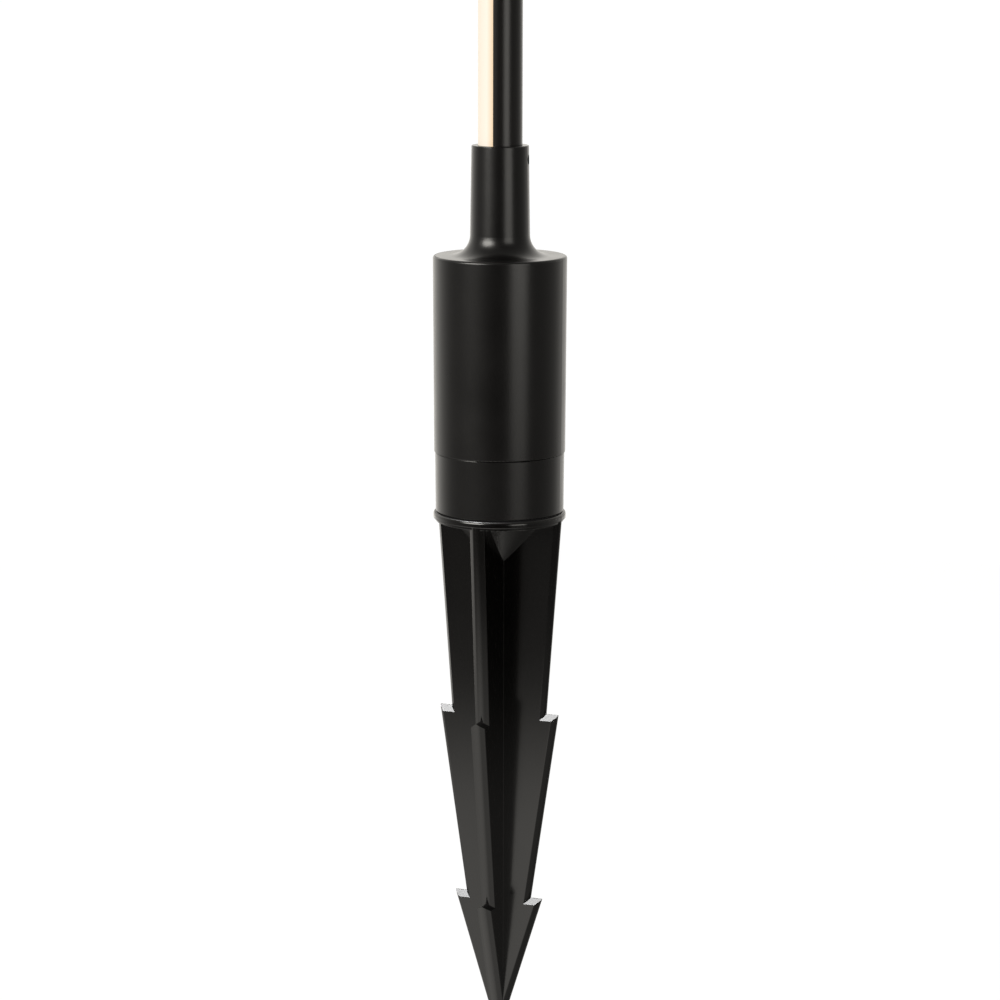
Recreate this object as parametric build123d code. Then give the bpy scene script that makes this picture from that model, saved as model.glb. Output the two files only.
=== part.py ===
from build123d import *

import os
from math import cos, radians, tan

# Sizes are in millimetres. +Z runs up the rod, and the origin is on the axis at the underside of the
# spike's flange, which lies on the soil. The diffuser faces -X and the cable gland points along +Y.

# Clearances
RUNNING_CLEARANCE = 0.06
SEAL_CLEARANCE = 0.03
SEATED_CLEARANCE = 0.05
THREAD_CLEARANCE = 0.1

# Housing: a slightly tapered can with a flared neck
HOUSING_TOP_RADIUS = 21.2
HOUSING_TAPER = 0.3
HOUSING_WALL = 3.2
HOUSING_HEIGHT = 62.65
HOUSING_ROOF = 5.1
HOUSING_EDGE_ROUND = 0.8
SEAM_ROUND = 0.3
NECK_HEIGHT = 34.6
NECK_WALL = 1.97
NECK_TAPER = 0.52
NECK_FLARE = 6.5
NECK_EDGE_ROUND = 0.3
ROD_SEAT_HEIGHT = 2.4
LEAD_HOLE_RADIUS = 3.0

# Base cap: screws up into the housing and turns on the spike
BASE_CAP_HEIGHT = 18.9
BASE_CAP_STEP = 0.3
BASE_CAP_TAPER = 0.15
BASE_CAP_FLOOR = 4.0
BASE_CAP_EDGE_ROUND = 0.3
COLLAR_HEIGHT = 10.0
COLLAR_WALL = 2.3

# Seals: the thickness of each O-ring
BASE_SEAL_SECTION = 1.5
NECK_SEAL_SECTION = 1.1
SWIVEL_SEAL_SECTION = 1.5
NECK_SEAL_DEPTH = 15.4

# Spike flange and swivel
BEAD_STEP = 0.8
BEAD_HEIGHT = 2.1
BEAD_TOP_ROUND = 1.0
BEAD_FOOT_ROUND = 0.3
LIP_STEP = 0.7
LIP_HEIGHT = 0.85
LIP_ROUND = 0.2
SWIVEL_GAP = 0.3
SWIVEL_WASHER_OUTER_RADIUS = 17.0
SWIVEL_WASHER_INNER_RADIUS = 11.0
SWIVEL_WASHER_POCKET = 0.7
SPIGOT_RADIUS = 9.5
PIVOT_PLAY = 0.1
PIVOT_WASHER_OVERLAP = 3.0
PIVOT_WASHER_THICKNESS = 1.5
PIVOT_SCREW_RADIUS = 2.5
PIVOT_HEAD_RADIUS = 4.6
PIVOT_HEAD_HEIGHT = 3.5
PIVOT_SOCKET_FLATS = 4.0
PIVOT_SOCKET_DEPTH = 2.0
INSERT_WALL = 1.1
INSERT_LENGTH = 12.0
PIVOT_SCREW_END = 0.5
PIVOT_HOLE_END = 1.5

# Spike fins: the reach of each ridge from the axis, and the depth of each level below the flange
NECK_1_REACH = 16.3
BARB_1_REACH = 20.4
BARB_1_DEPTH = 62.9
NECK_2_REACH = 11.15
BARB_2_REACH = 15.1
BARB_2_DEPTH = 125.2
TIP_REACH = 0.6
TIP_DEPTH = 171.5
FIN_THICKNESS = 4.8
FIN_BEVEL_ANGLE = 40.0
FIN_RIDGE_ROUND = 1.8
FIN_CORNER_ROUND = 0.4
BARB_SLOPE_ANGLE = 38.0
BARB_RIDGE_WIDTH = 0.4
FIN_LAP = 6.0
INNER_CORNER_WEB = 0.12
INNER_CORNER_DEPTH = 150.0
CONE_TOP_RADIUS = 15.3
CONE_FOOT_RADIUS = 3.3
CONE_DEPTH = 13.2

# Rod: a half-round metal profile, a half-round diffuser and the LED board between them
ROD_RADIUS = 7.0
ROD_WALL = 1.4
PROFILE_LENGTH = 517.0
SPLIT_X = 0.3
WEB_FRONT_X = 0.9
WEB_THICKNESS = 1.2
SCREW_PORT_WALL = 0.85
DIFFUSER_LEG = 0.8
LED_BOARD_THICKNESS = 1.0
LED_BOARD_EDGE = 0.3
LED_BOARD_END = 0.5
LED_PITCH = 8.5
LED_LENGTH = 2.8
LED_WIDTH = 3.5
LED_HEIGHT = 0.8
LEDS_PER_RESISTOR = 3
RESISTOR_LENGTH = 1.6
RESISTOR_WIDTH = 0.8
RESISTOR_HEIGHT = 0.5
STRIP_LEAD_RADIUS = 0.5
STRIP_LEAD_LENGTH = 7.0
STRIP_LEAD_Y = 3.2
FOOT_PLUG_THICKNESS = 3.0
PLUG_SPIGOT = 5.0
PLUG_SPIGOT_ROOM = 0.4
TOP_GASKET_THICKNESS = 0.5
TOP_CAP_THICKNESS = 2.5
END_SCREW_RADIUS = 1.0
END_SCREW_LENGTH = 9.0
END_SCREW_HEAD_RADIUS = 1.9
END_SCREW_HEAD_HEIGHT = 1.2
END_SCREW_SOCKET_FLATS = 1.5
END_SCREW_SOCKET_DEPTH = 0.7

# Set screw: presses on the metal half of the rod
SET_SCREW_RADIUS = 1.5
SET_SCREW_DEPTH = 4.4
SET_SCREW_RECESS = 0.35
SET_SCREW_ANGLE = 11.0
SET_SCREW_FLATS = 1.5
SET_SCREW_SOCKET = 1.0

# Cable gland in the back of the base cap
GLAND_THREAD_RADIUS = 6.0
GLAND_SPOT_RADIUS = 8.6
GLAND_SPOT_DEPTH = 1.9
GLAND_WASHER_THICKNESS = 0.8
GLAND_WASHER_RIM = 2.0
GLAND_FLATS = 14.0
GLAND_HEX = 4.0
GLAND_TOP_RADIUS = 5.6
GLAND_TOP_LENGTH = 7.0
GLAND_BORE_RADIUS = 3.6
GLAND_SEAL_WALL = 1.1
GLAND_SEAL_LENGTH = 5.6
GLAND_SEAL_PROUD = 0.3
GLAND_NUT_FLATS = 13.0
GLAND_NUT_GAP = 0.5
GLAND_NUT_END = 2.0
GLAND_NUT_ROUND = 3.0
CABLE_HOLE_RADIUS = 3.3

# Driver inside the housing
CARRIER_EDGE_ROOM = 1.5
CARRIER_DISC = 2.5
CARRIER_HOLE_RADIUS = 4.5
CARRIER_PLATE = 2.0
CARRIER_PLATE_Y = 1.8
CARRIER_PLATE_MARGIN = 1.0
BOARD_WIDTH = 24.0
BOARD_HEIGHT = 37.0
BOARD_THICKNESS = 1.6
BOARD_BACK_Y = -0.5
BOARD_TOP_ROOM = 4.0
CARRIER_SCREW_RADIUS = 1.5
CARRIER_SCREW_BITE = 3.5
CARRIER_SCREW_HEAD_RADIUS = 2.75
CARRIER_SCREW_HEAD = 2.0
CARRIER_SCREW_Y = 11.0
BOARD_SCREW_RADIUS = 1.1
BOARD_SCREW_HEAD_RADIUS = 2.0
BOARD_SCREW_HEAD = 1.2
BOARD_SCREW_INSET = 2.6
BOARD_BOSS_RADIUS = 2.2
OUTPUT_LEAD_RADIUS = 1.6
CAPACITOR_RADIUS = 3.6
CAPACITOR_HEIGHT = 9.0
CAPACITOR_SPACING = 9.0
CAPACITOR_DEPTH = 9.5
INDUCTOR_RADIUS = 5.2
INDUCTOR_WAIST_RADIUS = 3.6
INDUCTOR_FLANGE = 1.2
INDUCTOR_HEIGHT = 6.0
INDUCTOR_DEPTH = 20.0
CHIP_SIZE = (4.0, 1.6, 5.0)
CHIP_X = -7.5
CHIP_DEPTH = 25.0
RECTIFIER_SIZE = (5.0, 2.4, 6.0)
RECTIFIER_X = 8.0
RECTIFIER_DEPTH = 27.0
TERMINAL_SIZE = (10.0, 9.0, 7.0)
TERMINAL_X = -3.0
TERMINAL_WIRE_RADIUS = 1.3
TERMINAL_WIRE_DEPTH = 4.0

# Radii that follow from the sizes above
housing_bottom_radius = HOUSING_TOP_RADIUS - HOUSING_TAPER
cavity_radius = housing_bottom_radius - HOUSING_WALL
collar_radius = cavity_radius - THREAD_CLEARANCE
collar_bore_radius = collar_radius - COLLAR_WALL
base_cap_top_radius = housing_bottom_radius - BASE_CAP_STEP
base_cap_foot_radius = base_cap_top_radius - BASE_CAP_TAPER
bead_radius = base_cap_foot_radius + BEAD_STEP
lip_radius = bead_radius - LIP_STEP
rod_bore_radius = ROD_RADIUS + RUNNING_CLEARANCE
neck_top_radius = rod_bore_radius + NECK_WALL
neck_base_radius = neck_top_radius + NECK_TAPER
pivot_bore_radius = SPIGOT_RADIUS + RUNNING_CLEARANCE
pivot_washer_radius = SPIGOT_RADIUS + PIVOT_WASHER_OVERLAP
insert_radius = PIVOT_SCREW_RADIUS + INSERT_WALL

# Heights, from the soil upwards
flange_top = LIP_HEIGHT + BEAD_HEIGHT
base_cap_foot = flange_top + SWIVEL_GAP
floor_top = base_cap_foot + BASE_CAP_FLOOR
swivel_seal_height = (base_cap_foot + floor_top) / 2
seam = base_cap_foot + BASE_CAP_HEIGHT
collar_top = seam + COLLAR_HEIGHT
housing_top = seam + HOUSING_HEIGHT
roof = housing_top - HOUSING_ROOF
neck_top = housing_top + NECK_HEIGHT
rod_seat = housing_top + ROD_SEAT_HEIGHT
rod_foot = rod_seat + SEATED_CLEARANCE
profile_foot = rod_foot + FOOT_PLUG_THICKNESS
profile_top = profile_foot + PROFILE_LENGTH
cap_foot = profile_top + TOP_GASKET_THICKNESS
rod_top = cap_foot + TOP_CAP_THICKNESS
spigot_top = floor_top + PIVOT_PLAY
pivot_head_foot = spigot_top + PIVOT_WASHER_THICKNESS
insert_foot = spigot_top - INSERT_LENGTH
board_top = roof - CARRIER_DISC - BOARD_TOP_ROOM
board_foot = board_top - BOARD_HEIGHT
board_front_y = BOARD_BACK_Y - BOARD_THICKNESS

os.makedirs("parts", exist_ok=True)


def keep(name, shape):
    export_step(shape, f"parts/{name}.step")


def post(radius, low, high):
    return Pos(0, 0, (low + high) / 2) * Cylinder(radius, high - low)


def tube(outer, inner, low, high):
    return post(outer, low, high) - post(inner, low, high)


def o_ring(inner, section, height):
    return Pos(0, 0, height) * Torus(inner + section / 2, section / 2)


def hexagon(flats, low, high):
    outline = RegularPolygon(flats / 2, 6, major_radius=False)
    return Pos(0, 0, low) * extrude(outline, high - low)


def turned(outline, rounds=()):
    """Revolve an (r, z) outline about the axis, after rounding the named corners."""
    section = Plane.XZ * make_face(Polyline(*outline, close=True))
    for (radius, height), size in rounds:
        corner = section.vertices().sort_by_distance((radius, 0, height))[0]
        section = fillet(corner, size)
    return revolve(section, Axis.Z)


def slab(x_range, y_range, z_range):
    low = (x_range[0], y_range[0], z_range[0])
    size = (x_range[1] - low[0], y_range[1] - low[1], z_range[1] - low[2])
    return Pos(*low) * Box(*size, align=(Align.MIN, Align.MIN, Align.MIN))


# Ground spike: crossed plates of bevelled blades, a cone, a beaded flange and the pivot spigot


def trimmed(block, point, normal):
    """The part of a block that lies behind a plane."""
    return split(block, bisect_by=Plane(origin=point, z_dir=normal), keep=Keep.BOTTOM)


def upright_edges(block, least_y, most_y):
    """The edges that run most of a block's height, between two distances from the middle plane of a fin."""
    least_rise = block.bounding_box().size.Z / 2
    return [
        edge for edge in block.edges()
        if edge.bounding_box().size.Z > least_rise and least_y <= abs(edge.center().Y) <= most_y
    ]


def blade(top_reach, top_depth, foot_reach, foot_depth):
    """Two opposite fins along X between two depths, with a rounded ridge along the middle of each edge.

    A blade that starts below ground is a barb, so its top slopes down to both faces."""
    bevel = tan(radians(FIN_BEVEL_ANGLE))
    lean = (top_reach - foot_reach) / (foot_depth - top_depth)
    ridge = top_reach + FIN_RIDGE_ROUND * (1 / cos(radians(FIN_BEVEL_ANGLE)) - 1)
    foot = foot_depth + FIN_LAP if foot_depth < TIP_DEPTH else foot_depth
    block = slab((-ridge, ridge), (-FIN_THICKNESS / 2, FIN_THICKNESS / 2), (-foot, -top_depth))
    for side in (-1, 1):
        for face in (-1, 1):
            block = trimmed(block, (side * ridge, 0, -top_depth), (side, face * bevel, -lean))
    block = fillet(upright_edges(block, 0, SEATED_CLEARANCE), FIN_RIDGE_ROUND)
    block = fillet(upright_edges(block, FIN_RIDGE_ROUND, FIN_THICKNESS), FIN_CORNER_ROUND)
    if top_depth > 0:
        slope = tan(radians(BARB_SLOPE_ANGLE))
        for side in (-1, 1):
            block = trimmed(block, (0, side * BARB_RIDGE_WIDTH / 2, -top_depth), (0, side * slope, 1))
    return block


def inner_corner_section(depth, web):
    """A square on its point that reaches past the inner corners of the crossed fins by the web."""
    return Pos(0, 0, -depth) * RegularPolygon(FIN_THICKNESS + web, 4)


def ground_spike():
    head = LIP_HEIGHT + BEAD_HEIGHT / 2
    fins = blade(bead_radius - SEATED_CLEARANCE, -head, NECK_1_REACH, BARB_1_DEPTH)
    fins += blade(BARB_1_REACH, BARB_1_DEPTH, NECK_2_REACH, BARB_2_DEPTH)
    fins += blade(BARB_2_REACH, BARB_2_DEPTH, TIP_REACH, TIP_DEPTH)
    body = fins + Rot(0, 0, 90) * fins
    body += loft([
        inner_corner_section(-LIP_HEIGHT / 2, INNER_CORNER_WEB),
        inner_corner_section(INNER_CORNER_DEPTH, SEATED_CLEARANCE),
    ])

    body += turned(
        [
            (0, 0), (lip_radius, 0), (lip_radius, LIP_HEIGHT), (bead_radius, LIP_HEIGHT),
            (bead_radius, flange_top), (0, flange_top),
        ],
        [
            ((lip_radius, 0), LIP_ROUND), ((bead_radius, LIP_HEIGHT), BEAD_FOOT_ROUND),
            ((bead_radius, flange_top), BEAD_TOP_ROUND),
        ],
    )
    cone = Cone(CONE_FOOT_RADIUS, CONE_TOP_RADIUS, CONE_DEPTH)
    body += Pos(0, 0, -CONE_DEPTH / 2) * cone
    body += post(SPIGOT_RADIUS, 0, spigot_top)

    pocket_floor = flange_top - SWIVEL_WASHER_POCKET
    body -= tube(SWIVEL_WASHER_OUTER_RADIUS, SWIVEL_WASHER_INNER_RADIUS, pocket_floor, flange_top)
    groove_radius = pivot_bore_radius - SEAL_CLEARANCE - SWIVEL_SEAL_SECTION - SEAL_CLEARANCE
    half_groove = SWIVEL_SEAL_SECTION / 2 + SEATED_CLEARANCE
    groove_foot = swivel_seal_height - half_groove
    body -= tube(SPIGOT_RADIUS, groove_radius, groove_foot, groove_foot + 2 * half_groove)
    body -= post(insert_radius + SEAL_CLEARANCE, insert_foot, spigot_top)
    body -= post(PIVOT_SCREW_RADIUS + SEATED_CLEARANCE, insert_foot - PIVOT_HOLE_END, spigot_top)
    return body


keep("ground_spike", ground_spike())
keep("spike_insert", tube(insert_radius, PIVOT_SCREW_RADIUS, insert_foot, spigot_top))

# Swivel: the washer in the flange carries the lamp, and the pivot screw holds it down
washer_room = SEATED_CLEARANCE
keep("swivel_washer", tube(
    SWIVEL_WASHER_OUTER_RADIUS - washer_room,
    SWIVEL_WASHER_INNER_RADIUS + washer_room,
    flange_top - SWIVEL_WASHER_POCKET,
    base_cap_foot,
))
swivel_seal_inner = pivot_bore_radius - SEAL_CLEARANCE - SWIVEL_SEAL_SECTION
keep("swivel_seal", o_ring(swivel_seal_inner, SWIVEL_SEAL_SECTION, swivel_seal_height))
keep("pivot_washer", tube(
    pivot_washer_radius, PIVOT_SCREW_RADIUS + SEATED_CLEARANCE, spigot_top, pivot_head_foot
))
pivot_head_top = pivot_head_foot + PIVOT_HEAD_HEIGHT
pivot_screw = post(PIVOT_SCREW_RADIUS - SEAL_CLEARANCE, insert_foot - PIVOT_SCREW_END, pivot_head_foot)
pivot_screw += post(PIVOT_HEAD_RADIUS, pivot_head_foot, pivot_head_top)
pivot_screw -= hexagon(PIVOT_SOCKET_FLATS, pivot_head_top - PIVOT_SOCKET_DEPTH, pivot_head_top)
keep("pivot_screw", pivot_screw)


# Base cap: floor on the pivot, collar up into the housing, and a spot face for the gland at the back

gland_height = (base_cap_foot + seam) / 2
gland_face = base_cap_foot_radius - GLAND_SPOT_DEPTH
gland_place = Pos(0, 0, gland_height) * Rot(-90, 0, 0)
base_seal_height = seam + COLLAR_HEIGHT / 2


def base_cap():
    groove_radius = cavity_radius - SEAL_CLEARANCE - BASE_SEAL_SECTION - SEAL_CLEARANCE
    half_groove = BASE_SEAL_SECTION / 2 + SEATED_CLEARANCE
    outline = [
        (pivot_bore_radius, base_cap_foot),
        (base_cap_foot_radius, base_cap_foot),
        (base_cap_top_radius, seam),
        (collar_radius, seam),
        (collar_radius, base_seal_height - half_groove),
        (groove_radius, base_seal_height - half_groove),
        (groove_radius, base_seal_height + half_groove),
        (collar_radius, base_seal_height + half_groove),
        (collar_radius, collar_top),
        (collar_bore_radius, collar_top),
        (collar_bore_radius, floor_top),
        (pivot_bore_radius, floor_top),
    ]
    rounds = [
        ((base_cap_foot_radius, base_cap_foot), BASE_CAP_EDGE_ROUND),
        ((base_cap_top_radius, seam), SEAM_ROUND),
    ]
    cap = turned(outline, rounds)
    cap -= gland_place * post(GLAND_SPOT_RADIUS, gland_face, gland_face + HOUSING_TOP_RADIUS)
    cap -= gland_place * post(GLAND_THREAD_RADIUS, collar_bore_radius / 2, gland_face)
    return cap


keep("base_cap", base_cap())
base_seal_inner = cavity_radius - SEAL_CLEARANCE - BASE_SEAL_SECTION
keep("base_seal", o_ring(base_seal_inner, BASE_SEAL_SECTION, base_seal_height))


# Cable gland: body, washer and sealing bush on the lamp, and a nut that turns on the body

gland_hex_foot = gland_face + GLAND_WASHER_THICKNESS
gland_hex_top = gland_hex_foot + GLAND_HEX
gland_top = gland_hex_top + GLAND_TOP_LENGTH
gland_seal_radius = CABLE_HOLE_RADIUS + GLAND_SEAL_WALL
gland_seal_foot = gland_top - GLAND_SEAL_LENGTH + GLAND_SEAL_PROUD
gland_seal_top = gland_seal_foot + GLAND_SEAL_LENGTH
gland_nut_foot = gland_hex_top + GLAND_NUT_GAP
gland_nut_step = gland_seal_top + SEATED_CLEARANCE
gland_nut_top = gland_nut_step + GLAND_NUT_END


def gland_body():
    body = post(GLAND_THREAD_RADIUS - SEATED_CLEARANCE, collar_bore_radius + SEATED_CLEARANCE, gland_hex_foot)
    body += hexagon(GLAND_FLATS, gland_hex_foot, gland_hex_top)
    body += post(GLAND_TOP_RADIUS, gland_hex_top, gland_top)
    body -= post(GLAND_BORE_RADIUS, 0, gland_top)
    body -= post(gland_seal_radius + SEATED_CLEARANCE, gland_seal_foot, gland_top)
    return body


def gland_nut():
    corner = GLAND_NUT_FLATS / 2 / cos(radians(30))
    dome = turned(
        [(0, gland_nut_foot), (corner, gland_nut_foot), (corner, gland_nut_top), (0, gland_nut_top)],
        [((corner, gland_nut_top), GLAND_NUT_ROUND)],
    )
    nut = hexagon(GLAND_NUT_FLATS, gland_nut_foot, gland_nut_top) & dome
    nut -= post(GLAND_TOP_RADIUS + THREAD_CLEARANCE, gland_nut_foot, gland_nut_step)
    nut -= post(CABLE_HOLE_RADIUS, gland_nut_foot, gland_nut_top)
    return nut


keep("gland_washer", gland_place * tube(
    GLAND_THREAD_RADIUS + GLAND_WASHER_RIM - SEATED_CLEARANCE, GLAND_THREAD_RADIUS, gland_face, gland_hex_foot
))
keep("gland_body", gland_place * gland_body())
keep("gland_seal", gland_place * tube(
    gland_seal_radius, CABLE_HOLE_RADIUS, gland_seal_foot, gland_seal_top
))
keep("gland_nut", gland_place * gland_nut())


# Housing: can, roof and flared neck in one piece, with the bore for the rod and the set screw's hole

neck_seal_height = neck_top - NECK_SEAL_DEPTH
set_screw_height = neck_top - SET_SCREW_DEPTH
set_screw_place = Pos(0, 0, set_screw_height) * Rot(0, 0, SET_SCREW_ANGLE) * Rot(0, 90, 0)
carrier_screw_spots = [Pos(0, side * CARRIER_SCREW_Y, 0) for side in (-1, 1)]


def housing():
    groove_radius = rod_bore_radius + NECK_SEAL_SECTION + SEATED_CLEARANCE
    half_groove = NECK_SEAL_SECTION / 2 + SEATED_CLEARANCE
    outline = [
        (cavity_radius, seam),
        (housing_bottom_radius, seam),
        (HOUSING_TOP_RADIUS, housing_top),
        (neck_base_radius, housing_top),
        (neck_top_radius, neck_top),
        (rod_bore_radius, neck_top),
        (rod_bore_radius, neck_seal_height + half_groove),
        (groove_radius, neck_seal_height + half_groove),
        (groove_radius, neck_seal_height - half_groove),
        (rod_bore_radius, neck_seal_height - half_groove),
        (rod_bore_radius, rod_seat),
        (LEAD_HOLE_RADIUS, rod_seat),
        (LEAD_HOLE_RADIUS, roof),
        (cavity_radius, roof),
    ]
    rounds = [
        ((housing_bottom_radius, seam), SEAM_ROUND),
        ((HOUSING_TOP_RADIUS, housing_top), HOUSING_EDGE_ROUND),
        ((neck_base_radius, housing_top), NECK_FLARE),
        ((neck_top_radius, neck_top), NECK_EDGE_ROUND),
    ]
    body = turned(outline, rounds)
    body -= set_screw_place * post(SET_SCREW_RADIUS, 0, neck_base_radius + NECK_FLARE)
    screw_hole = post(CARRIER_SCREW_RADIUS, roof, roof + CARRIER_SCREW_BITE + SEATED_CLEARANCE)
    body -= [spot * screw_hole for spot in carrier_screw_spots]
    return body


def set_screw():
    neck_slope = NECK_TAPER / NECK_HEIGHT
    surface = neck_top_radius + neck_slope * SET_SCREW_DEPTH
    outer_end = surface - SET_SCREW_RECESS
    screw = post(SET_SCREW_RADIUS - SEATED_CLEARANCE, ROD_RADIUS + SEATED_CLEARANCE, outer_end)
    return screw - hexagon(SET_SCREW_FLATS, outer_end - SET_SCREW_SOCKET, outer_end)


keep("housing", housing())
keep("neck_seal", o_ring(rod_bore_radius - SEAL_CLEARANCE, NECK_SEAL_SECTION, neck_seal_height))
keep("set_screw", set_screw_place * set_screw())


# Driver: a carrier screwed to the roof holds the board upright, with its parts on the front

carrier_radius = cavity_radius - CARRIER_EDGE_ROOM
carrier_disc_foot = roof - CARRIER_DISC
plate_half_width = BOARD_WIDTH / 2
board_screw_spots = [
    Pos(side * (BOARD_WIDTH / 2 - BOARD_SCREW_INSET), 0, height)
    for side, height in ((-1, board_top - BOARD_SCREW_INSET), (1, board_foot + BOARD_SCREW_INSET))
]
facing_front = Rot(90, 0, 0)


def on_board(shape, x, depth):
    """Stand a shape, built up from Z zero, on the front of the board at a depth below its top edge."""
    return Pos(x, board_front_y, board_top - depth) * facing_front * shape


def box_on_board(size, x, depth):
    width, height, length = size
    return on_board(Pos(0, 0, height / 2) * Box(width, length, height), x, depth)


def driver_carrier():
    plate_y = (CARRIER_PLATE_Y, CARRIER_PLATE_Y + CARRIER_PLATE)
    carrier = post(carrier_radius, carrier_disc_foot, roof)
    carrier += slab((-plate_half_width, plate_half_width), plate_y, (board_foot - CARRIER_PLATE_MARGIN, roof))
    boss = post(BOARD_BOSS_RADIUS, -plate_y[0], -BOARD_BACK_Y)
    carrier += [spot * facing_front * boss for spot in board_screw_spots]
    carrier -= post(CARRIER_HOLE_RADIUS, carrier_disc_foot, roof) - slab(
        (-CARRIER_HOLE_RADIUS, CARRIER_HOLE_RADIUS), plate_y, (carrier_disc_foot, roof)
    )
    screw_hole = post(CARRIER_SCREW_RADIUS + SEATED_CLEARANCE, carrier_disc_foot, roof)
    carrier -= [spot * screw_hole for spot in carrier_screw_spots]
    board_hole = post(BOARD_SCREW_RADIUS, -plate_y[1], -BOARD_BACK_Y)
    carrier -= [spot * facing_front * board_hole for spot in board_screw_spots]
    return carrier


def carrier_screws():
    shank = post(CARRIER_SCREW_RADIUS - SEATED_CLEARANCE, carrier_disc_foot, roof + CARRIER_SCREW_BITE)
    head = post(CARRIER_SCREW_HEAD_RADIUS, carrier_disc_foot - CARRIER_SCREW_HEAD, carrier_disc_foot)
    return Compound([spot * (shank + head) for spot in carrier_screw_spots])


def driver_board():
    board = slab(
        (-BOARD_WIDTH / 2, BOARD_WIDTH / 2), (board_front_y, BOARD_BACK_Y), (board_foot, board_top)
    )
    hole = post(BOARD_SCREW_RADIUS + SEATED_CLEARANCE, -BOARD_BACK_Y, -board_front_y)
    return board - [spot * facing_front * hole for spot in board_screw_spots]


def board_screws():
    shank = post(BOARD_SCREW_RADIUS - SEATED_CLEARANCE, -CARRIER_PLATE_Y, -board_front_y)
    head = post(BOARD_SCREW_HEAD_RADIUS, -board_front_y, BOARD_SCREW_HEAD - board_front_y)
    return Compound([spot * facing_front * (shank + head) for spot in board_screw_spots])


def inductor():
    drum = post(INDUCTOR_WAIST_RADIUS, 0, INDUCTOR_HEIGHT)
    drum += post(INDUCTOR_RADIUS, 0, INDUCTOR_FLANGE)
    drum += post(INDUCTOR_RADIUS, INDUCTOR_HEIGHT - INDUCTOR_FLANGE, INDUCTOR_HEIGHT)
    return on_board(drum, 0, INDUCTOR_DEPTH)


def capacitors():
    can = post(CAPACITOR_RADIUS, 0, CAPACITOR_HEIGHT)
    return Compound([
        on_board(can, side * CAPACITOR_SPACING / 2, CAPACITOR_DEPTH) for side in (-1, 1)
    ])


def terminal_block():
    width, height, length = TERMINAL_SIZE
    block = box_on_board(TERMINAL_SIZE, TERMINAL_X, BOARD_HEIGHT - length / 2)
    entry = post(TERMINAL_WIRE_RADIUS, board_foot, board_foot + TERMINAL_WIRE_DEPTH)
    entry_y = board_front_y - height / 2
    return block - [Pos(TERMINAL_X + side * width / 4, entry_y, 0) * entry for side in (-1, 1)]


keep("driver_carrier", driver_carrier())
keep("carrier_screws", carrier_screws())
keep("driver_board", driver_board())
keep("board_screws", board_screws())
keep("inductor", inductor())
keep("capacitors", capacitors())
keep("driver_chip", box_on_board(CHIP_SIZE, CHIP_X, CHIP_DEPTH))
keep("rectifier", box_on_board(RECTIFIER_SIZE, RECTIFIER_X, RECTIFIER_DEPTH))
keep("terminal_block", terminal_block())
keep("output_lead", post(OUTPUT_LEAD_RADIUS, board_top, rod_seat))


# Rod: profile and diffuser clip together along the split, and a plug and a cap close the ends

rod_inner_radius = ROD_RADIUS - ROD_WALL
web_back_x = WEB_FRONT_X + WEB_THICKNESS
port_bore_radius = END_SCREW_RADIUS + SEATED_CLEARANCE
port_radius = port_bore_radius + SCREW_PORT_WALL
port_x = (web_back_x + rod_inner_radius) / 2
leg_outer_y = (rod_inner_radius**2 - WEB_FRONT_X**2) ** 0.5 - SEATED_CLEARANCE
leg_inner_y = leg_outer_y - DIFFUSER_LEG
led_board_half_width = leg_inner_y - LED_BOARD_EDGE
led_board_front_x = WEB_FRONT_X - LED_BOARD_THICKNESS
led_board_foot = profile_foot + LED_BOARD_END
led_board_top = profile_top - LED_BOARD_END
strip_lead_x = led_board_front_x - STRIP_LEAD_RADIUS - SEAL_CLEARANCE
spigot_front_x = strip_lead_x - STRIP_LEAD_RADIUS - PLUG_SPIGOT_ROOM
strip_lead_spots = [Pos(strip_lead_x, side * STRIP_LEAD_Y, 0) for side in (-1, 1)]


def area(x_range, y_range):
    size = (x_range[1] - x_range[0], y_range[1] - y_range[0])
    return Pos(x_range[0], y_range[0]) * Rectangle(*size, align=(Align.MIN, Align.MIN))


def between_ends(section):
    return Pos(0, 0, profile_foot) * extrude(section, PROFILE_LENGTH)


def rod_profile():
    wide = (-ROD_RADIUS, ROD_RADIUS)
    section = (Circle(ROD_RADIUS) - Circle(rod_inner_radius)) & area((SPLIT_X, ROD_RADIUS), wide)
    bulk = Circle(rod_inner_radius + ROD_WALL / 2)
    section += area((WEB_FRONT_X, web_back_x), wide) & bulk
    section += (Pos(port_x, 0) * Circle(port_radius)) & bulk
    section -= Pos(port_x, 0) * Circle(port_bore_radius)
    return between_ends(section)


def diffuser():
    wide = (-ROD_RADIUS, ROD_RADIUS)
    bulk = Circle(rod_inner_radius + ROD_WALL / 2)
    section = (Circle(ROD_RADIUS) - Circle(rod_inner_radius)) & area((-ROD_RADIUS, SPLIT_X), wide)
    leg_root = area((SPLIT_X - DIFFUSER_LEG, SPLIT_X), (leg_inner_y, rod_inner_radius)) & bulk
    leg = area((SPLIT_X, WEB_FRONT_X - SEATED_CLEARANCE), (leg_inner_y, leg_outer_y))
    section += leg_root + leg
    section += mirror(leg_root + leg, Plane.XZ)
    return between_ends(section)


def led_spots():
    room = led_board_top - led_board_foot - 2 * STRIP_LEAD_LENGTH
    count = int(room / LED_PITCH)
    first = (led_board_foot + led_board_top) / 2 - (count - 1) * LED_PITCH / 2
    return [first + number * LED_PITCH for number in range(count)]


def led_chips():
    front = led_board_front_x - LED_HEIGHT
    return Compound([
        slab(
            (front, led_board_front_x),
            (-LED_WIDTH / 2, LED_WIDTH / 2),
            (height - LED_LENGTH / 2, height + LED_LENGTH / 2),
        )
        for height in led_spots()
    ])


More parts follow.
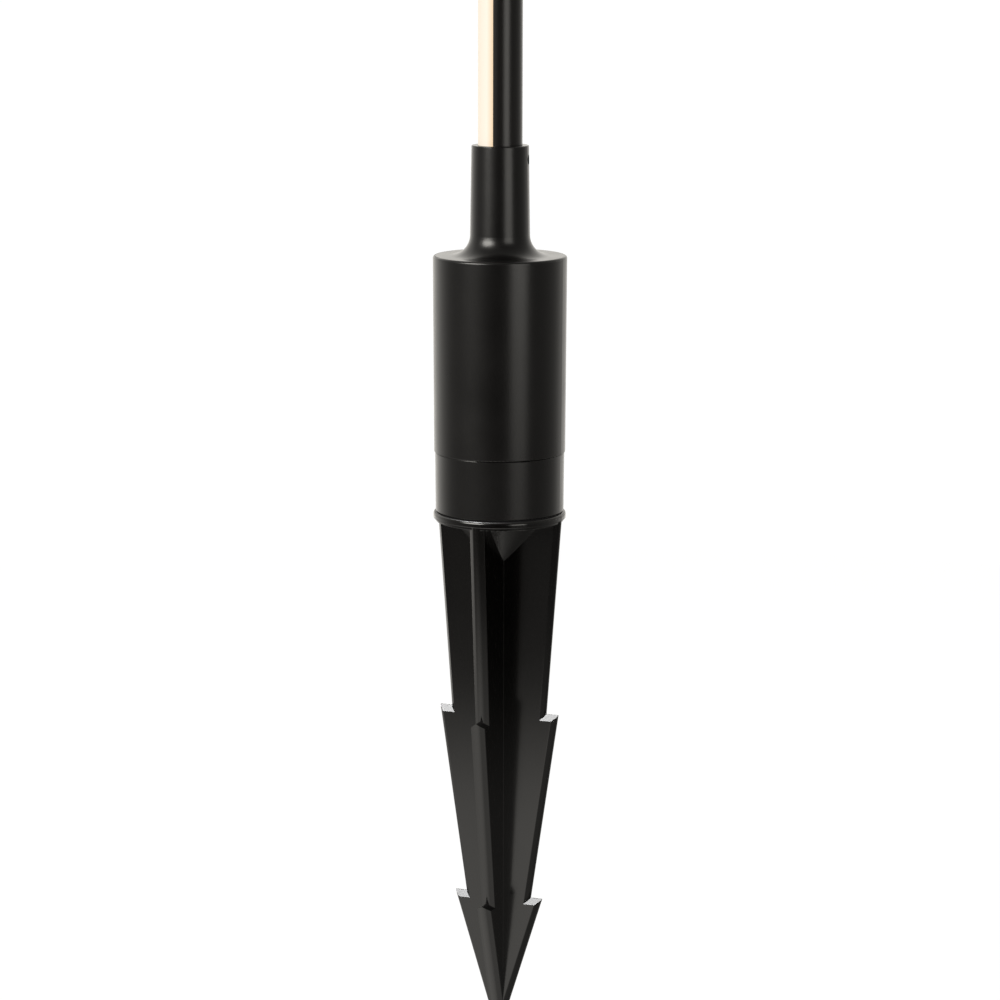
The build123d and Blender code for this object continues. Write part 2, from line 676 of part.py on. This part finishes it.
def strip_resistors():
    front = led_board_front_x - RESISTOR_HEIGHT
    middles = [height + LED_PITCH / 2 for height in led_spots()[:-1:LEDS_PER_RESISTOR]]
    return Compound([
        slab(
            (front, led_board_front_x),
            (-RESISTOR_WIDTH / 2, RESISTOR_WIDTH / 2),
            (middle - RESISTOR_LENGTH / 2, middle + RESISTOR_LENGTH / 2),
        )
        for middle in middles
    ])


def end_spigot():
    """The part of a plug or cap that fills the end of the diffuser's hollow, from Z zero up."""
    hollow = Circle(rod_inner_radius - SEATED_CLEARANCE)
    legs_clear = leg_inner_y - SEATED_CLEARANCE
    outline = hollow & area((-ROD_RADIUS, spigot_front_x), (-legs_clear, legs_clear))
    return extrude(outline, PLUG_SPIGOT)


def end_screw_hole(low, high):
    return Pos(port_x, 0, 0) * post(END_SCREW_RADIUS + SEATED_CLEARANCE, low, high)


def end_screw_recess(low, high):
    return Pos(port_x, 0, 0) * post(END_SCREW_HEAD_RADIUS + SEATED_CLEARANCE, low, high)


def rod_foot_plug():
    plug = post(ROD_RADIUS, rod_foot, profile_foot)
    plug += Pos(0, 0, profile_foot) * end_spigot()
    plug -= end_screw_hole(rod_foot, profile_foot)
    plug -= end_screw_recess(rod_foot, rod_foot + END_SCREW_HEAD_HEIGHT)
    lead_hole = post(STRIP_LEAD_RADIUS + SEAL_CLEARANCE, rod_foot, profile_foot)
    return plug - [spot * lead_hole for spot in strip_lead_spots]


def top_cap():
    cap = post(ROD_RADIUS, cap_foot, rod_top)
    rim = cap.edges().group_by(Axis.Z)[-1]
    cap = fillet(rim, SEAM_ROUND)
    cap += mirror(Pos(0, 0, -cap_foot) * end_spigot(), Plane.XY)
    cap -= end_screw_hole(cap_foot, rod_top)
    return cap - end_screw_recess(rod_top - END_SCREW_HEAD_HEIGHT, rod_top)


def top_gasket():
    gasket = post(ROD_RADIUS, profile_top, cap_foot)
    spigot_room = Pos(0, 0, profile_top) * end_spigot()
    return gasket - spigot_room - end_screw_hole(profile_top, cap_foot)


def end_screws():
    head = post(END_SCREW_HEAD_RADIUS, 0, END_SCREW_HEAD_HEIGHT)
    shank = post(END_SCREW_RADIUS, END_SCREW_HEAD_HEIGHT, END_SCREW_LENGTH)
    screw = head + shank - hexagon(END_SCREW_SOCKET_FLATS, 0, END_SCREW_SOCKET_DEPTH)
    foot_screw = Pos(port_x, 0, rod_foot) * screw
    top_screw = Pos(port_x, 0, rod_top) * Rot(180, 0, 0) * screw
    return Compound([foot_screw, top_screw])


def strip_leads():
    lead = post(STRIP_LEAD_RADIUS, rod_foot, profile_foot + STRIP_LEAD_LENGTH)
    return Compound([spot * lead for spot in strip_lead_spots])


keep("rod_profile", rod_profile())
keep("diffuser", diffuser())
keep("led_board", slab(
    (led_board_front_x, WEB_FRONT_X),
    (-led_board_half_width, led_board_half_width),
    (led_board_foot, led_board_top),
))
keep("led_chips", led_chips())
keep("strip_resistors", strip_resistors())
keep("strip_leads", strip_leads())
keep("rod_foot_plug", rod_foot_plug())
keep("top_cap", top_cap())
keep("top_gasket", top_gasket())
keep("end_screws", end_screws())
print("rod top", round(rod_top, 2), "neck top", round(neck_top, 2), "housing top", round(housing_top, 2))
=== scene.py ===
import math

import bpy
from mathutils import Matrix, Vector


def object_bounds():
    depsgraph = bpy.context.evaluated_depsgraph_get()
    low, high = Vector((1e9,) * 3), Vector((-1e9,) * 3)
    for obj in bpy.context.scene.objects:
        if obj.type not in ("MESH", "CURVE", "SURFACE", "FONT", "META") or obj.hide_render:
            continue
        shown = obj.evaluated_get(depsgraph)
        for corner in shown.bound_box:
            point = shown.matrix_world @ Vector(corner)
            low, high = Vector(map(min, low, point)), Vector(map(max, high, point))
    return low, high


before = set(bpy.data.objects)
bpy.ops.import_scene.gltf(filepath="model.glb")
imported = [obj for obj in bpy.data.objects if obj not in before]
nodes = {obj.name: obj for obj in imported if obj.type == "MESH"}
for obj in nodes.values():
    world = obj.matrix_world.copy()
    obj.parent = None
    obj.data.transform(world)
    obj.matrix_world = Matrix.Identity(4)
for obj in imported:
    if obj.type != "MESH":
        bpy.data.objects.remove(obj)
cad_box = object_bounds()

# Ground spike: crossed fins with two rows of barbs under a beaded flange, one moulding in black plastic.
# The steel tool leaves a satin skin, with soft patches where the plastic flowed together. Faces that look
# up, such as the barbs' tops, are more matt.
GRAIN_SHARE = 0.5
FINISH_SPREAD = (0.35, 1.15)
SATIN_SLOPE = 0.6
MATT_SLOPE = 0.75
MATT_ROUGHNESS = 0.36


def make_grain():
    """A fine grain over soft patches: a colour, a roughness and a height that change over the surface."""
    group = bpy.data.node_groups.new("grain", "ShaderNodeTree")
    sockets = group.interface
    sockets.new_socket("Vector", in_out="INPUT", socket_type="NodeSocketVector")
    sockets.new_socket("Grain Scale", in_out="INPUT", socket_type="NodeSocketFloat")
    sockets.new_socket("Patch Scale", in_out="INPUT", socket_type="NodeSocketFloat")
    sockets.new_socket("Dark", in_out="INPUT", socket_type="NodeSocketColor")
    sockets.new_socket("Light", in_out="INPUT", socket_type="NodeSocketColor")
    sockets.new_socket("Smoothest", in_out="INPUT", socket_type="NodeSocketFloat")
    sockets.new_socket("Roughest", in_out="INPUT", socket_type="NodeSocketFloat")
    sockets.new_socket("Color", in_out="OUTPUT", socket_type="NodeSocketColor")
    sockets.new_socket("Roughness", in_out="OUTPUT", socket_type="NodeSocketFloat")
    sockets.new_socket("Height", in_out="OUTPUT", socket_type="NodeSocketFloat")
    link = group.links.new
    given = group.nodes.new("NodeGroupInput")
    result = group.nodes.new("NodeGroupOutput")
    grain = group.nodes.new("ShaderNodeTexNoise")
    grain.inputs["Detail"].default_value = 2.0
    patches = group.nodes.new("ShaderNodeTexNoise")
    patches.inputs["Detail"].default_value = 3.0
    tone = group.nodes.new("ShaderNodeMix")
    tone.data_type = "RGBA"
    spread = group.nodes.new("ShaderNodeMath")
    spread.operation = "MULTIPLY_ADD"
    spread.inputs[1].default_value = GRAIN_SHARE
    finish = group.nodes.new("ShaderNodeMapRange")
    finish.inputs["From Min"].default_value = FINISH_SPREAD[0]
    finish.inputs["From Max"].default_value = FINISH_SPREAD[1]
    link(given.outputs["Vector"], grain.inputs["Vector"])
    link(given.outputs["Grain Scale"], grain.inputs["Scale"])
    link(given.outputs["Vector"], patches.inputs["Vector"])
    link(given.outputs["Patch Scale"], patches.inputs["Scale"])
    link(patches.outputs["Fac"], tone.inputs["Factor"])
    link(given.outputs["Dark"], tone.inputs["A"])
    link(given.outputs["Light"], tone.inputs["B"])
    link(tone.outputs["Result"], result.inputs["Color"])
    link(grain.outputs["Fac"], spread.inputs[0])
    link(patches.outputs["Fac"], spread.inputs[2])
    link(spread.outputs["Value"], finish.inputs["Value"])
    link(given.outputs["Smoothest"], finish.inputs["To Min"])
    link(given.outputs["Roughest"], finish.inputs["To Max"])
    link(finish.outputs["Result"], result.inputs["Roughness"])
    link(grain.outputs["Fac"], result.inputs["Height"])
    return group


grain = make_grain()


def grained(name, dark, light, finish, scales, relief, metallic=0.0, stretch=(1.0, 1.0, 1.0)):
    """A material that is mostly one finish, varied by the grain.

    finish is the lowest and highest roughness, scales the grain's and the patches' number per metre,
    relief the grain's height in metres, and stretch draws the pattern out along an axis."""
    material = bpy.data.materials.new(name)
    material.use_nodes = True
    tree = material.node_tree
    shader = tree.nodes["Principled BSDF"]
    shader.inputs["Metallic"].default_value = metallic
    place = tree.nodes.new("ShaderNodeTexCoord")
    drawn_out = tree.nodes.new("ShaderNodeMapping")
    drawn_out.inputs["Scale"].default_value = stretch
    effect = tree.nodes.new("ShaderNodeGroup")
    effect.node_tree = grain
    effect.inputs["Grain Scale"].default_value = scales[0]
    effect.inputs["Patch Scale"].default_value = scales[1]
    effect.inputs["Dark"].default_value = (*dark, 1.0)
    effect.inputs["Light"].default_value = (*light, 1.0)
    effect.inputs["Smoothest"].default_value = finish[0]
    effect.inputs["Roughest"].default_value = finish[1]
    bump = tree.nodes.new("ShaderNodeBump")
    bump.inputs["Distance"].default_value = relief
    tree.links.new(place.outputs["Object"], drawn_out.inputs["Vector"])
    tree.links.new(drawn_out.outputs["Vector"], effect.inputs["Vector"])
    tree.links.new(effect.outputs["Color"], shader.inputs["Base Color"])
    tree.links.new(effect.outputs["Roughness"], shader.inputs["Roughness"])
    tree.links.new(effect.outputs["Height"], bump.inputs["Height"])
    tree.links.new(bump.outputs["Normal"], shader.inputs["Normal"])
    return material


def finish_nodes(material, *names):
    """Gives the named pieces of the CAD model their finish."""
    for name in names:
        nodes[name].material_slots[0].material = material


spike_plastic = grained(
    "spike_plastic", (0.0008, 0.0006, 0.0006), (0.0014, 0.0012, 0.0011), (0.14, 0.2), (900.0, 40.0), 0.000002
)
spike_tree = spike_plastic.node_tree
spike_shader = spike_tree.nodes["Principled BSDF"]
facing = spike_tree.nodes.new("ShaderNodeTexCoord")
facing_axes = spike_tree.nodes.new("ShaderNodeSeparateXYZ")
top_share = spike_tree.nodes.new("ShaderNodeMapRange")
top_share.inputs["From Min"].default_value = SATIN_SLOPE
top_share.inputs["From Max"].default_value = MATT_SLOPE
matt = spike_tree.nodes.new("ShaderNodeMix")
matt.inputs["B"].default_value = MATT_ROUGHNESS
spike_link = spike_tree.links.new
spike_link(facing.outputs["Normal"], facing_axes.inputs["Vector"])
spike_link(facing_axes.outputs["Z"], top_share.inputs["Value"])
spike_link(top_share.outputs["Result"], matt.inputs["Factor"])
satin_skin = spike_shader.inputs["Roughness"].links[0].from_socket
spike_link(satin_skin, matt.inputs["A"])
spike_link(matt.outputs["Result"], spike_shader.inputs["Roughness"])
finish_nodes(spike_plastic, "ground_spike")

# Threaded insert: turned brass, pressed into the spike's spigot while the plastic is warm.
# The pivot screw goes into it, so that the lamp can come off without wearing the plastic.
brass = grained(
    "brass", (0.5, 0.36, 0.15), (0.62, 0.46, 0.21), (0.24, 0.36), (500.0, 90.0), 0.000003, metallic=1.0,
    stretch=(0.05, 0.05, 1.0)
)
finish_nodes(brass, "spike_insert")

# Swivel: a moulded nylon washer in the flange's pocket carries the lamp, and a rubber ring keeps soil out.
# A steel screw and washer hold the lamp down, so that it turns by hand and stays where it is put.
black_nylon = grained(
    "black_nylon", (0.004, 0.004, 0.004), (0.008, 0.008, 0.008), (0.38, 0.48), (1100.0, 60.0), 0.000006
)
rubber = grained(
    "rubber", (0.006, 0.006, 0.006), (0.012, 0.012, 0.012), (0.6, 0.75), (1500.0, 80.0), 0.00001
)
screw_steel = grained(
    "screw_steel", (0.42, 0.42, 0.41), (0.55, 0.55, 0.54), (0.2, 0.32), (700.0, 90.0), 0.000002, metallic=1.0,
    stretch=(1.0, 1.0, 0.1)
)
finish_nodes(black_nylon, "swivel_washer")
finish_nodes(rubber, "swivel_seal")
finish_nodes(screw_steel, "pivot_washer", "pivot_screw")

# Base cap: the lower can, turned from aluminium and coated with black satin powder that is baked on.
# It screws up into the housing over a rubber ring, and turns on the spike's spigot.
coated_body = grained(
    "coated_body", (0.0008, 0.0006, 0.0006), (0.0016, 0.0013, 0.0013), (0.26, 0.33), (1600.0, 60.0), 0.000003
)
finish_nodes(coated_body, "base_cap")
finish_nodes(rubber, "base_seal")

# Cable gland: a moulded nylon body and nut that squeeze a rubber seal onto the supply cable.
# The body is screwed into the back of the base cap against a flat rubber washer.
finish_nodes(black_nylon, "gland_body", "gland_nut")
finish_nodes(rubber, "gland_washer", "gland_seal")

# Driver: a green circuit board with its coil, capacitors, chips and terminals, soldered on.
# Small steel screws hold it to a pale moulded carrier, which hangs from the housing's roof.
carrier_plastic = grained(
    "carrier_plastic", (0.62, 0.62, 0.58), (0.7, 0.7, 0.66), (0.4, 0.5), (900.0, 50.0), 0.000005
)
circuit_board = grained(
    "circuit_board", (0.01, 0.07, 0.025), (0.02, 0.12, 0.045), (0.28, 0.42), (420.0, 160.0), 0.00001,
    stretch=(1.0, 1.0, 0.25)
)
inductor_ferrite = grained(
    "inductor_ferrite", (0.03, 0.03, 0.033), (0.07, 0.07, 0.075), (0.5, 0.7), (1400.0, 150.0), 0.00002
)
capacitor_sleeve = grained(
    "capacitor_sleeve", (0.012, 0.018, 0.07), (0.02, 0.03, 0.1), (0.18, 0.28), (600.0, 100.0), 0.000003
)
chip_resin = grained(
    "chip_resin", (0.012, 0.012, 0.014), (0.022, 0.022, 0.025), (0.5, 0.62), (2500.0, 200.0), 0.000006
)
terminal_plastic = grained(
    "terminal_plastic", (0.02, 0.11, 0.05), (0.035, 0.16, 0.07), (0.35, 0.45), (900.0, 80.0), 0.000005
)
lead_sleeve = grained(
    "lead_sleeve", (0.26, 0.012, 0.01), (0.36, 0.022, 0.018), (0.4, 0.52), (800.0, 120.0), 0.000004
)
finish_nodes(carrier_plastic, "driver_carrier")
finish_nodes(screw_steel, "carrier_screws", "board_screws")
finish_nodes(circuit_board, "driver_board")
finish_nodes(inductor_ferrite, "inductor")
finish_nodes(capacitor_sleeve, "capacitors")
finish_nodes(chip_resin, "driver_chip", "rectifier")
finish_nodes(terminal_plastic, "terminal_block")
finish_nodes(lead_sleeve, "output_lead")

# Housing: the tapered can with its flared neck, one turned aluminium piece in the same black coat.
# A rubber ring in the neck keeps the rod's foot dry.
finish_nodes(coated_body, "housing")
finish_nodes(rubber, "neck_seal")

# Rod, metal half: an aluminium profile drawn through a die, so that fine lines run along it, then black
# anodised. The moulded plug at its foot closes it, and the LED board slides into it.
anodised_rod = grained(
    "anodised_rod", (0.002, 0.0017, 0.0016), (0.0036, 0.003, 0.0028), (0.24, 0.32), (2600.0, 60.0), 0.0000015,
    stretch=(1.0, 1.0, 0.012)
)
rod_end_plastic = grained(
    "rod_end_plastic", (0.003, 0.003, 0.003), (0.006, 0.006, 0.006), (0.32, 0.42), (1100.0, 60.0), 0.000005
)
strip_board = grained(
    "strip_board", (0.66, 0.66, 0.63), (0.74, 0.74, 0.71), (0.3, 0.42), (500.0, 90.0), 0.000004
)
led_phosphor = grained(
    "led_phosphor", (0.7, 0.46, 0.09), (0.8, 0.56, 0.14), (0.3, 0.42), (1800.0, 200.0), 0.000005
)
finish_nodes(anodised_rod, "rod_profile")
finish_nodes(rod_end_plastic, "rod_foot_plug")
finish_nodes(strip_board, "led_board")
finish_nodes(led_phosphor, "led_chips")
finish_nodes(chip_resin, "strip_resistors")
finish_nodes(lead_sleeve, "strip_leads")

# Rod, lit half: an opal plastic half tube, extruded, that clips onto the profile over the LEDs.
# It glows a warm white, which yellows near the split, where the light passes through more plastic. Its clear
# outer skin takes up a little of the light, most where it is seen at a slant.
GLOW_MIDDLE_X = -0.0019
GLOW_SPLIT_X = 0.0001
opal_diffuser = bpy.data.materials.new("opal_diffuser")
opal_diffuser.use_nodes = True
opal_tree = opal_diffuser.node_tree
opal_shader = opal_tree.nodes["Principled BSDF"]
opal_shader.inputs["Base Color"].default_value = (0.2, 0.185, 0.16, 1.0)
opal_shader.inputs["Specular IOR Level"].default_value = 0.1
opal_shader.inputs["Coat Weight"].default_value = 1.0
opal_shader.inputs["Coat Roughness"].default_value = 0.4
opal_shader.inputs["Coat IOR"].default_value = 1.1
opal_shader.inputs["Coat Tint"].default_value = (0.86, 0.85, 0.82, 1.0)
opal_shader.inputs["Emission Strength"].default_value = 1.0
opal_place = opal_tree.nodes.new("ShaderNodeTexCoord")
opal_axes = opal_tree.nodes.new("ShaderNodeSeparateXYZ")
toward_split = opal_tree.nodes.new("ShaderNodeMapRange")
toward_split.inputs["From Min"].default_value = GLOW_MIDDLE_X
toward_split.inputs["From Max"].default_value = GLOW_SPLIT_X
glow = opal_tree.nodes.new("ShaderNodeMix")
glow.data_type = "RGBA"
glow.inputs["A"].default_value = (0.98, 0.89, 0.805, 1.0)
glow.inputs["B"].default_value = (0.82, 0.6, 0.39, 1.0)
satin = opal_tree.nodes.new("ShaderNodeTexNoise")
satin.inputs["Scale"].default_value = 300.0
satin_range = opal_tree.nodes.new("ShaderNodeMapRange")
satin_range.inputs["To Min"].default_value = 0.4
satin_range.inputs["To Max"].default_value = 0.52
opal_link = opal_tree.links.new
opal_link(opal_place.outputs["Object"], opal_axes.inputs["Vector"])
opal_link(opal_axes.outputs["X"], toward_split.inputs["Value"])
opal_link(toward_split.outputs["Result"], glow.inputs["Factor"])
opal_link(glow.outputs["Result"], opal_shader.inputs["Emission Color"])
opal_link(opal_place.outputs["Object"], satin.inputs["Vector"])
opal_link(satin.outputs["Fac"], satin_range.inputs["Value"])
opal_link(satin_range.outputs["Result"], opal_shader.inputs["Roughness"])
finish_nodes(opal_diffuser, "diffuser")

# Rod's top: a cap moulded in black plastic over a rubber gasket, which keeps rain out.
# Two black steel screws hold it down, in the profile's screw ports.
set_screw_steel = grained(
    "set_screw_steel", (0.02, 0.02, 0.021), (0.045, 0.045, 0.047), (0.3, 0.42), (900.0, 90.0), 0.000004,
    metallic=1.0
)
finish_nodes(rubber, "top_gasket")
finish_nodes(rod_end_plastic, "top_cap")
finish_nodes(set_screw_steel, "end_screws")

# Set screw: a small grub screw of black steel with a hexagon socket.
# It goes into a threaded hole near the top of the neck, and clamps the rod.
finish_nodes(set_screw_steel, "set_screw")

# Studio: a round white table, whose mirror image is brightest in front of the object, and a room that is dark
# at the camera, white behind, and darker low down. A round softbox and a board stand either side of the
# camera, and a softbox above lights the spike alone, for the white tops of its barbs.
VIEW_AZIMUTH = math.radians(21.3)
VIEW_ELEVATION = math.radians(10.8)
VIEW_DISTANCE = 1.0
VIEW_WIDTH = 0.32
VIEW_ROLL = math.radians(0.1)
VIEW_TARGET = Vector((0.00012, 0.00005, 0.0062))
SENSOR_WIDTH = 36.0
TABLE_GAP = 0.002
TABLE_RADIUS = 0.8
TABLE_WHITE = 1.06
TABLE_WHITE_SHARE = 0.9
TABLE_MIRRORED = (0.25, 1.5)
TABLE_TURN = math.radians(-35.0)
TABLE_DARKEST = -0.2
TABLE_FADE = (0.24, 0.52)
BACKDROP_WHITE = 1.02
WARM_WHITE = (1.0, 0.97, 0.91, 1.0)
ROOM_TURN = math.radians(8.0)


def direction(azimuth, elevation):
    """The way from the object to a place that far round from the front, and that far up."""
    return Vector((
        math.sin(azimuth) * math.cos(elevation), -math.cos(azimuth) * math.cos(elevation), math.sin(elevation)
    ))


bpy.ops.object.select_all(action="DESELECT")
bpy.ops.mesh.primitive_circle_add(
    vertices=128, radius=TABLE_RADIUS, fill_type="NGON", location=(0.0, 0.0, cad_box[0].z - TABLE_GAP)
)
table = bpy.context.active_object
table.name = "table"
white = bpy.data.materials.new("white_table")
white.use_nodes = True
tree = white.node_tree
tree.nodes.clear()
result = tree.nodes.new("ShaderNodeOutputMaterial")
paper = tree.nodes.new("ShaderNodeBsdfDiffuse")
paper.inputs["Color"].default_value = (0.85, 0.85, 0.85, 1.0)
seen = tree.nodes.new("ShaderNodeEmission")
seen.inputs["Strength"].default_value = TABLE_WHITE
mirrored = tree.nodes.new("ShaderNodeEmission")
mirrored.inputs["Color"].default_value = WARM_WHITE
beyond = tree.nodes.new("ShaderNodeBsdfTransparent")
path = tree.nodes.new("ShaderNodeLightPath")
keep_shadow = tree.nodes.new("ShaderNodeMath")
keep_shadow.operation = "MULTIPLY"
keep_shadow.inputs[1].default_value = TABLE_WHITE_SHARE
camera_mix = tree.nodes.new("ShaderNodeMixShader")
mirror_mix = tree.nodes.new("ShaderNodeMixShader")
edge_mix = tree.nodes.new("ShaderNodeMixShader")
place = tree.nodes.new("ShaderNodeTexCoord")
away = tree.nodes.new("ShaderNodeVectorMath")
away.operation = "LENGTH"
heading = tree.nodes.new("ShaderNodeVectorMath")
heading.operation = "NORMALIZE"
in_front = tree.nodes.new("ShaderNodeVectorMath")
in_front.operation = "DOT_PRODUCT"
in_front.inputs[1].default_value = direction(VIEW_AZIMUTH + TABLE_TURN, 0.0)
brighter = tree.nodes.new("ShaderNodeMapRange")
brighter.inputs["From Min"].default_value = TABLE_DARKEST
brighter.inputs["To Min"].default_value = TABLE_MIRRORED[0]
brighter.inputs["To Max"].default_value = TABLE_MIRRORED[1]
fade = tree.nodes.new("ShaderNodeMapRange")
fade.interpolation_type = "SMOOTHSTEP"
fade.inputs["From Min"].default_value = TABLE_FADE[0]
fade.inputs["From Max"].default_value = TABLE_FADE[1]
link = tree.links.new
link(place.outputs["Object"], heading.inputs[0])
link(heading.outputs["Vector"], in_front.inputs[0])
link(in_front.outputs["Value"], brighter.inputs["Value"])
link(brighter.outputs["Result"], mirrored.inputs["Strength"])
link(place.outputs["Object"], away.inputs[0])
link(away.outputs["Value"], fade.inputs["Value"])
link(fade.outputs["Result"], edge_mix.inputs["Fac"])
link(mirrored.outputs["Emission"], edge_mix.inputs[1])
link(beyond.outputs["BSDF"], edge_mix.inputs[2])
link(path.outputs["Is Camera Ray"], keep_shadow.inputs[0])
link(keep_shadow.outputs["Value"], camera_mix.inputs["Fac"])
link(paper.outputs["BSDF"], camera_mix.inputs[1])
link(seen.outputs["Emission"], camera_mix.inputs[2])
link(path.outputs["Is Glossy Ray"], mirror_mix.inputs["Fac"])
link(camera_mix.outputs["Shader"], mirror_mix.inputs[1])
link(edge_mix.outputs["Shader"], mirror_mix.inputs[2])
link(mirror_mix.outputs["Shader"], result.inputs["Surface"])
table.data.materials.append(white)

world = bpy.data.worlds.new("studio")
bpy.context.scene.world = world
world.use_nodes = True
tree = world.node_tree
tree.nodes.clear()
link = tree.links.new
result = tree.nodes.new("ShaderNodeOutputWorld")
room = tree.nodes.new("ShaderNodeBackground")
backdrop = tree.nodes.new("ShaderNodeBackground")
backdrop.inputs["Color"].default_value = (1.0, 1.0, 1.0, 1.0)
backdrop.inputs["Strength"].default_value = BACKDROP_WHITE
path = tree.nodes.new("ShaderNodeLightPath")
choose = tree.nodes.new("ShaderNodeMixShader")
place = tree.nodes.new("ShaderNodeTexCoord")
behind = tree.nodes.new("ShaderNodeVectorMath")
behind.operation = "DOT_PRODUCT"
behind.inputs[1].default_value = -direction(VIEW_AZIMUTH + ROOM_TURN, 0.0)
spread = tree.nodes.new("ShaderNodeMapRange")
spread.inputs["From Min"].default_value = -1.0
spread.inputs["From Max"].default_value = 1.0
ramp = tree.nodes.new("ShaderNodeValToRGB")
room_levels = {
    0.0: 0.03, 0.07: 0.06, 0.25: 0.2, 0.41: 0.25, 0.59: 0.34,
    0.67: 0.45, 0.75: 0.65, 0.85: 0.98, 0.93: 1.2, 1.0: 1.7
}


def fill_ramp(ramp, levels, tint):
    """Sets a new ramp to these levels of one tint, the first of them at 0."""
    steps = ramp.color_ramp.elements
    steps.remove(steps[1])
    for stop, level in levels.items():
        step = steps.new(stop) if stop else steps[0]
        step.color = [level * part for part in tint] + [1.0]


fill_ramp(ramp, room_levels, WARM_WHITE[:3])
upward = tree.nodes.new("ShaderNodeSeparateXYZ")
height = tree.nodes.new("ShaderNodeMapRange")
height.inputs["From Min"].default_value = -1.0
low_ramp = tree.nodes.new("ShaderNodeValToRGB")
low_levels = {0.0: 0.35, 0.335: 0.35, 0.39: 1.25, 0.425: 1.0}
fill_ramp(low_ramp, low_levels, (1.0, 1.0, 1.0))
link(place.outputs["Generated"], upward.inputs["Vector"])
link(upward.outputs["Z"], height.inputs["Value"])
link(height.outputs["Result"], low_ramp.inputs["Fac"])
link(low_ramp.outputs["Color"], room.inputs["Strength"])
link(place.outputs["Generated"], behind.inputs[0])
link(behind.outputs["Value"], spread.inputs["Value"])
link(spread.outputs["Result"], ramp.inputs["Fac"])
link(ramp.outputs["Color"], room.inputs["Color"])
link(path.outputs["Is Camera Ray"], choose.inputs["Fac"])
link(room.outputs["Background"], choose.inputs[1])
link(backdrop.outputs["Background"], choose.inputs[2])
link(choose.outputs["Shader"], result.inputs["Surface"])


def softbox(name, turn, elevation, distance, width, height, radiance, shape="RECTANGLE"):
    """An area light that shines at the body.

    turn is its degrees round from the camera, elevation its degrees up, the sizes are in metres, and radiance
    is how bright it looks in a mirror, where 1 is white."""
    area = width * height * (math.pi / 4.0 if shape == "ELLIPSE" else 1.0)
    bpy.ops.object.select_all(action="DESELECT")
    toward = direction(VIEW_AZIMUTH + math.radians(turn), math.radians(elevation))
    bpy.ops.object.light_add(type="AREA", location=VIEW_TARGET + toward * distance)
    light = bpy.context.active_object
    light.name = name
    light.rotation_euler = toward.to_track_quat("Z", "Y").to_euler()
    light.data.shape = shape
    light.data.size = width
    light.data.size_y = height
    light.data.energy = radiance * area * math.pi
    light.visible_camera = False
    return light


overhead = softbox("overhead", -101.6, 67.8, 1.39, 0.4, 0.4, 45.0)
overhead.data.use_shadow = False
overhead.data.cycles.use_multiple_importance_sampling = False
spike_alone = bpy.data.collections.new("spike_alone")
spike_alone.objects.link(nodes["ground_spike"])
overhead.light_linking.receiver_collection = spike_alone
for board in (
    softbox("right_board", 33.0, 10.5, 1.2, 0.6, 0.76, 2.5),
    softbox("left_softbox", -49.0, 25.5, 1.2, 0.8, 0.68, 12.0, "ELLIPSE"),
):
    board.data.color = WARM_WHITE[:3]

bpy.ops.object.camera_add()
camera = bpy.context.active_object
toward = direction(VIEW_AZIMUTH, VIEW_ELEVATION)
camera.location = VIEW_TARGET + toward * VIEW_DISTANCE
camera.rotation_euler = toward.to_track_quat("Z", "Y").to_euler()
camera.rotation_euler.rotate_axis("Z", VIEW_ROLL)
camera.data.sensor_width = SENSOR_WIDTH
camera.data.lens = SENSOR_WIDTH * VIEW_DISTANCE / VIEW_WIDTH
bpy.context.scene.camera = camera
bpy.context.scene.view_settings.view_transform = "Standard"
